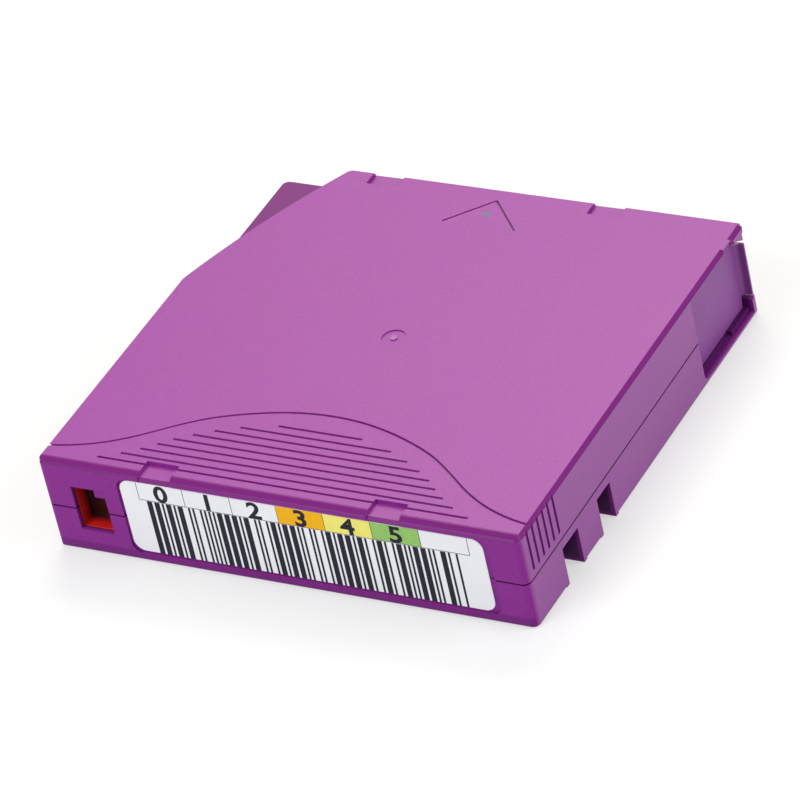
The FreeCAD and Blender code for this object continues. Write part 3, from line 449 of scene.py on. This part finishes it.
def slider_finish():
    """Red slider, with painted shade darker towards the back of its cup."""
    finish = Finish("slider_plastic")
    grain = finish.noise(0.3, 4.0)
    mottle = finish.noise(3.0, 3.0)
    tint = finish.mix(mottle.over(0.3, 0.7), shade(RED, 0.92), shade(RED, 1.06))
    # painted shade: darker towards the back of the cup
    tint = finish.mix(finish.place("Y").over(*SLIDER_CUP), tint, RED_CUP_SHADE)
    return finish.surface(tint, 0.34 + (grain - 0.5) * 0.12, finish.relief(grain, 0.006),
                          **{"Specular IOR Level": SLIDER_GLOSS})


def metal(name, colour, roughness, brush, line_size=0.25, line_depth=0.004):
    """Drawn or turned steel: lines along the brush direction, and light stains."""
    finish = Finish(name)
    lines = finish.noise(line_size, 6.0, brush)
    stain = finish.noise(6.0, 4.0)
    tint = finish.mix(stain.over(0.35, 0.7), shade(colour, 0.9), shade(colour, 1.05))
    rough = roughness + (lines - 0.5) * 0.18 + (stain - 0.5) * 0.08
    return finish.surface(tint, rough, finish.relief(lines, line_depth), metallic=1.0)


def turned_steel():
    """Clutch plate: faint rings from the lathe, and light stains."""
    finish = Finish("plate_steel")
    rings = (finish.radius() * 18.0).math("SINE") * 0.5 + finish.noise(0.4, 5.0)
    stain = finish.noise(5.0, 5.0)
    tint = finish.mix(stain.over(0.35, 0.7), PLATE_STEEL, PLATE_STEEL_LIGHT)
    return finish.surface(tint, 0.30 + stain * 0.15, finish.relief(rings, 0.006), metallic=1.0)


def wound_tape():
    """Edges of the turns: close rings with a slight unevenness between batches of turns."""
    finish = Finish("tape")
    radius = finish.radius()
    turns = (radius * 40.0).math("SINE")
    batches = (radius * 2.3).math("SINE") * 0.5 + finish.noise(7.0, 4.0)
    tint = finish.mix(batches.over(0.2, 0.9), TAPE_BROWN, TAPE_EDGE_BROWN)
    return finish.surface(tint, 0.26 + batches * 0.08, finish.relief(turns, 0.01))


def label_stock():
    """Smooth white paper under a thin clear film."""
    finish = Finish("label_paper")
    fibre = finish.noise(0.35, 5.0)
    cloud = finish.noise(14.0, 3.0)
    tint = finish.mix(cloud.over(0.3, 0.7), shade(PAPER, 0.97), PAPER)
    return finish.surface(tint, 0.34 + (fibre - 0.5) * 0.10, finish.relief(fibre, 0.004), **{
        "Coat Weight": 0.25, "Coat Roughness": 0.18})


def ink(name, colour):
    """Printing ink: slightly uneven cover with a low gloss."""
    finish = Finish(name)
    cover = finish.noise(0.25, 5.0)
    cloud = finish.noise(6.0, 3.0)
    patches = (cover * 0.6 + cloud * 0.4).over(0.35, 0.7)
    tint = finish.mix(patches, shade(colour, 0.92), shade(colour, 1.06))
    return finish.surface(tint, 0.36 + (cover - 0.5) * 0.12, finish.relief(cover, 0.003),
                          **{"Specular IOR Level": INK_GLOSS})


def board_finish():
    """Laminate with the printed loops of its antenna."""
    finish = Finish("board_laminate")
    across = abs(finish.place("X") - LOOPS_MIDDLE)
    loops = (across * 6.0).math("SINE").over(0.1, 0.4) * across.between(*LOOPS_BAND, 0.1)
    weave = finish.noise(0.5, 4.0)
    tint = finish.mix(loops, LAMINATE_GREEN, LOOP_GREEN)
    return finish.surface(tint, 0.35 + (weave - 0.5) * 0.1, finish.relief(loops + weave * 0.3, 0.02))


# ---- mesh helpers ----
def new_object(name, mesh, finish):
    piece = bpy.data.objects.new(name, mesh)
    bpy.context.scene.collection.objects.link(piece)
    piece.data.materials.clear()
    piece.data.materials.append(finish)
    return piece


def mesh_from(curve):
    """The mesh of a curve or a writing, in place of it."""
    drawn = bpy.data.objects.new(curve.name, curve)
    bpy.context.scene.collection.objects.link(drawn)
    bpy.context.view_layer.update()
    mesh = bpy.data.meshes.new_from_object(drawn.evaluated_get(bpy.context.evaluated_depsgraph_get()))
    bpy.data.objects.remove(drawn)
    return mesh


def ridden(piece, node):
    """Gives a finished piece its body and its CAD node."""
    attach(piece, frame["nodes"][node]["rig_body"])
    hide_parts(node)
    return piece


def edge_break(piece, width):
    """Rounds the sharp edges a little, as a mould or a press leaves them."""
    bevel = piece.modifiers.new("edge_break", "BEVEL")
    bevel.width = width * MM
    bevel.segments = 2
    bevel.limit_method = "WEIGHT"
    bevel.use_clamp_overlap = False
    bevel.miter_outer = "MITER_ARC"
    level = piece.modifiers.new("level_faces", "WEIGHTED_NORMAL")
    level.weight = 100
    level.keep_sharp = True


def softened(node, finish, width, least_edge=LEAST_EDGE, sharp_degrees=SHARP_DEGREES):
    """A copy of a CAD node with joined flat faces, smooth rounds and broken edges."""
    mesh = frame["nodes"][node].data.copy()
    work = bmesh.new()
    work.from_mesh(mesh)
    bmesh.ops.remove_doubles(work, verts=work.verts, dist=SAME_PLACE * MM)
    bmesh.ops.dissolve_limit(work, angle_limit=math.radians(FLAT_DEGREES), verts=work.verts,
                             edges=work.edges)
    weight = work.edges.layers.float.new("bevel_weight_edge")
    for edge in work.edges:
        sharp = len(edge.link_faces) == 2 and edge.calc_face_angle(0.0) > math.radians(sharp_degrees)
        edge.smooth = not sharp
        if sharp and edge.calc_length() > least_edge * MM:
            edge[weight] = 1.0
    for face in work.faces:
        face.smooth = True
    work.to_mesh(mesh)
    work.free()
    piece = new_object(node + "_dressed", mesh, finish)
    if width:
        edge_break(piece, width)
    return ridden(piece, node)


def coil_spring(node, finish, radius, wire, turns, start, end):
    """Round-wire coil between two places in metres, with closed turns at both ends."""
    along = end - start
    side = along.orthogonal().normalized()
    across = along.normalized().cross(side)
    curve = bpy.data.curves.new(node + "_wire", "CURVE")
    curve.dimensions = "3D"
    curve.bevel_depth = wire * MM / 2
    curve.bevel_resolution = 3
    curve.use_fill_caps = True
    spline = curve.splines.new("POLY")
    spline.points.add(turns * COIL_STEPS)
    seat = wire * MM / 2 / along.length
    for i, point in enumerate(spline.points):
        turn = i / COIL_STEPS
        angle = 2 * math.pi * turn
        climbed = min(max((turn - CLOSED_TURNS) / (turns - 2 * CLOSED_TURNS), 0.0), 1.0)
        rise = seat + (1 - 2 * seat) * climbed
        out = (side * math.cos(angle) + across * math.sin(angle)) * radius * MM
        point.co = (*(start + along * rise + out), 1.0)
    mesh = mesh_from(curve)
    for polygon in mesh.polygons:
        polygon.use_smooth = True
    return ridden(new_object(node + "_coil", mesh, finish), node)


# ---- label print ----
label_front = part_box("barcode_label")[0].y


def on_label(x, z, lift):
    return Vector((x * MM, label_front - lift * MM, z * MM))


def printed(name, mesh, finish):
    """A printed piece, which stays on the case."""
    piece = new_object(name, mesh, finish)
    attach(piece, "case")


def print_areas(name, outlines, finish, thickness):
    """Printed areas of the label, each a thin plate with the given outline."""
    work = bmesh.new()
    for outline in outlines:
        low = [work.verts.new(on_label(x, z, 0.0)) for x, z in outline]
        high = [work.verts.new(on_label(x, z, thickness)) for x, z in outline]
        work.faces.new(high)
        work.faces.new(low[::-1])
        for i in range(len(low)):
            k = (i + 1) % len(low)
            work.faces.new((low[i], low[k], high[k], high[i]))
    bmesh.ops.recalc_face_normals(work, faces=work.faces)
    mesh = bpy.data.meshes.new(name)
    work.to_mesh(mesh)
    work.free()
    printed(name, mesh, finish)


def rectangle(x0, x1, z0, z1):
    return [(x0, z0), (x1, z0), (x1, z1), (x0, z1)]


def bar_outlines():
    """Groups of narrow and wide bars and gaps that spell nothing."""
    outlines = []
    x, end = BARS
    wide = len(WIDE_PLACES[0])
    unit = (end - x) / len(WIDE_PLACES) / (STRIPES_IN_GROUP - wide + wide * WIDE_BAR)
    for group in WIDE_PLACES:
        for i in range(STRIPES_IN_GROUP):
            width = unit * (WIDE_BAR if i in group else 1.0)
            if i % 2 == 0:
                outlines.append(rectangle(x, x + width, BAR_BOTTOM, BAR_TOP))
            x += width
    return outlines


def cell_rules():
    low, high = CELL_ROW
    rules = [rectangle(CELL_EDGES[0], CELL_EDGES[-1], low - RULE_WIDTH, low)]
    half = RULE_WIDTH / 2
    return rules + [rectangle(x - half, x + half, low, high - CELL_TOP_GAP) for x in CELL_EDGES]


def print_digit(name, text, x, z, finish):
    curve = bpy.data.curves.new(name, "FONT")
    curve.body = text
    curve.size = DIGIT_HEIGHT / DIGIT_SHARE_OF_LINE * MM
    curve.align_x = "CENTER"
    curve.extrude = INK_LIFT / 2 * MM
    curve.offset = DIGIT_WEIGHT * MM
    curve.resolution_u = 6
    mesh = mesh_from(curve)
    upright = Matrix.Rotation(math.pi / 2, 4, "X")
    wide = Matrix.Scale(DIGIT_SPREAD, 4, (1, 0, 0))
    mesh.transform(Matrix.Translation(on_label(x, z, DIGIT_INK_LIFT)) @ upright @ wide)
    printed(name, mesh, finish)


def print_label(black, colours):
    print_areas("label_bars", bar_outlines(), black, INK_LIFT)
    print_areas("label_rules", cell_rules(), black, RULE_LIFT)
    low, high = CELL_ROW
    for i, (text, ink_name) in enumerate(zip(CELL_PRINTS, CELL_INKS)):
        left, right = CELL_EDGES[i], CELL_EDGES[i + 1]
        if ink_name in colours:
            cell = rectangle(left, right, low, high - CELL_TOP_GAP)
            print_areas("label_cell_%d" % i, [cell], colours[ink_name], INK_LIFT)
        if text:
            print_digit("label_digit_%d" % i, text, (left + right) / 2, low + DIGIT_LIFT, black)


# ---- finishes ----
case_plastic = case_finish()
door_plastic = moulded("door_plastic", DOOR_PURPLE, 0.46)
red_plastic = slider_finish()
white_plastic = moulded("hub_plastic", NATURAL_WHITE, 0.40, 0.4, 0.006, spread=0.03)
brake_plastic = moulded("brake_plastic", shade(NATURAL_WHITE, 0.9), 0.44, 0.4, 0.006, spread=0.03)
black_plastic = moulded("pad_plastic", BLACK_PLASTIC, 0.45, 0.3, 0.008)
clip_plastic = moulded("clip_plastic", shade(BLACK_PLASTIC, 1.3), 0.40, 0.3, 0.006)
chip_plastic = moulded("chip_plastic", shade(BLACK_PLASTIC, 0.9), 0.5, 0.2, 0.006)
steel_plate = turned_steel()
spring_steel = metal("spring_steel", SPRING_STEEL, 0.30, (1, 1, 4))
pin_steel = metal("pin_steel", PIN_STEEL, 0.14, (1, 1, 6), 0.3, 0.002)
screw_steel = metal("screw_steel", SCREW_STEEL, 0.36, (1, 1, 1), 0.4)
tape_film = wound_tape()
label_paper = label_stock()
laminate = board_finish()
black_ink = ink("bar_ink", BAR_INK)
cell_inks = {"orange": ink("orange_ink", ORANGE), "yellow": ink("yellow_ink", YELLOW),
             "green": ink("green_ink", GREEN)}

# ---- pieces: CAD node, finish, and the width of its broken edges ----
softened("upper_shell", case_plastic, 0.045, sharp_degrees=SHELL_SHARP_DEGREES)
softened("lower_shell", case_plastic, 0.045, sharp_degrees=SHELL_SHARP_DEGREES)
softened("door", door_plastic, 0.10)
softened("write_protect_slider", red_plastic, 0.10)
softened("barcode_label", label_paper, 0.03)
softened("reel_hub", white_plastic, 0.0)
softened("upper_flange", white_plastic, 0.12)
softened("clutch_plate", steel_plate, 0.12)
softened("tape_pack", tape_film, 0.05)
softened("tape_leader", tape_film, 0.0)
softened("brake", brake_plastic, 0.06, least_edge=0.3)
softened("release_pad", black_plastic, 0.12)
softened("leader_pin", pin_steel, 0.10)
softened("pin_clip", clip_plastic, 0.06)
softened("pin_spring", spring_steel, 0.03)
softened("memory_board", laminate, 0.05)
softened("memory_chip", chip_plastic, 0.06)
softened("case_screws", screw_steel, 0.10, least_edge=0.2)

low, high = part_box("door_spring")
middle = (low + high) / 2
door_coil = coil_spring("door_spring", spring_steel, *DOOR_SPRING,
                        Vector((middle.x, low.y, middle.z)), Vector((middle.x, high.y, middle.z)))
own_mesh(door_coil)

low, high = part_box("brake_spring")
brake_coil = coil_spring("brake_spring", spring_steel, *BRAKE_SPRING,
                         Vector((0, 0, low.z)), Vector((0, 0, high.z)))
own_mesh(brake_coil)

print_label(black_ink, cell_inks)


# ---- floor, light and camera ----
def lay_floor():
    mesh = bpy.data.meshes.new("floor")
    work = bmesh.new()
    bmesh.ops.create_grid(work, x_segments=4, y_segments=4, size=FLOOR_HALF_SIDE * MM,
                          matrix=Matrix.Translation((0, 0, -FLOOR_GAP * MM)))
    work.to_mesh(mesh)
    work.free()
    finish = Finish("floor")
    plain = finish.node("ShaderNodeBsdfDiffuse", {"Color": FLOOR_GREY})
    glow = finish.node("ShaderNodeEmission", {"Color": WHITE, "Strength": FLOOR_GLOW})
    bright = finish.node("ShaderNodeAddShader", {0: plain, 1: glow})
    surface = finish.node("ShaderNodeMixShader", {0: finish.seen_plainly(), 1: plain, 2: bright})
    finish.node("ShaderNodeOutputMaterial", {"Surface": surface})
    new_object("floor", mesh, finish.material)


def world_light():
    world = bpy.data.worlds.new("studio")
    bpy.context.scene.world = world
    nodes = Nodes(world)
    soft = nodes.node("ShaderNodeBackground", {"Color": WHITE, "Strength": WORLD_LIGHT})
    white = nodes.node("ShaderNodeBackground", {"Color": WHITE, "Strength": 1.0})
    surface = nodes.node("ShaderNodeMixShader", {0: nodes.seen_plainly(), 1: soft, 2: white})
    nodes.node("ShaderNodeOutputWorld", {"Surface": surface})


def soft_box(name, place, size, power, colour):
    lamp = bpy.data.lights.new(name, "AREA")
    lamp.color = colour
    lamp.shape = "RECTANGLE"
    lamp.size, lamp.size_y = size
    lamp.energy = power
    stand = bpy.data.objects.new(name, lamp)
    bpy.context.scene.collection.objects.link(stand)
    stand.location = place
    aim = Vector(LAMP_TARGET) - Vector(place)
    stand.rotation_euler = aim.to_track_quat("-Z", "Y").to_euler()


def stand_camera():
    """Long lens on the right of the label end, looking down; the roll is about the line of sight."""
    camera = bpy.data.cameras.new("camera")
    camera.sensor_width = 36.0
    camera.lens = CAMERA_LENS
    camera.clip_start = 0.05
    camera.clip_end = 20.0
    stand = bpy.data.objects.new("camera", camera)
    bpy.context.scene.collection.objects.link(stand)
    angles = (CAMERA_AZIMUTH, CAMERA_ELEVATION, CAMERA_ROLL)
    azimuth, elevation, roll = (math.radians(angle) for angle in angles)
    back = Vector((math.sin(azimuth) * math.cos(elevation), -math.cos(azimuth) * math.cos(elevation),
                   math.sin(elevation)))
    right = Vector((0, 0, 1)).cross(back).normalized()
    up = back.cross(right)
    turned_right = right * math.cos(roll) + up * math.sin(roll)
    turned_up = up * math.cos(roll) - right * math.sin(roll)
    axes = Matrix((turned_right, turned_up, back)).transposed().to_4x4()
    place = Vector(CAMERA_TARGET) * MM + back * CAMERA_DISTANCE * MM
    stand.matrix_world = Matrix.Translation(place) @ axes
    bpy.context.scene.camera = stand


lay_floor()
world_light()
for lamp in LAMPS:
    soft_box(*lamp)
stand_camera()
bpy.context.scene.view_settings.view_transform = "Standard"
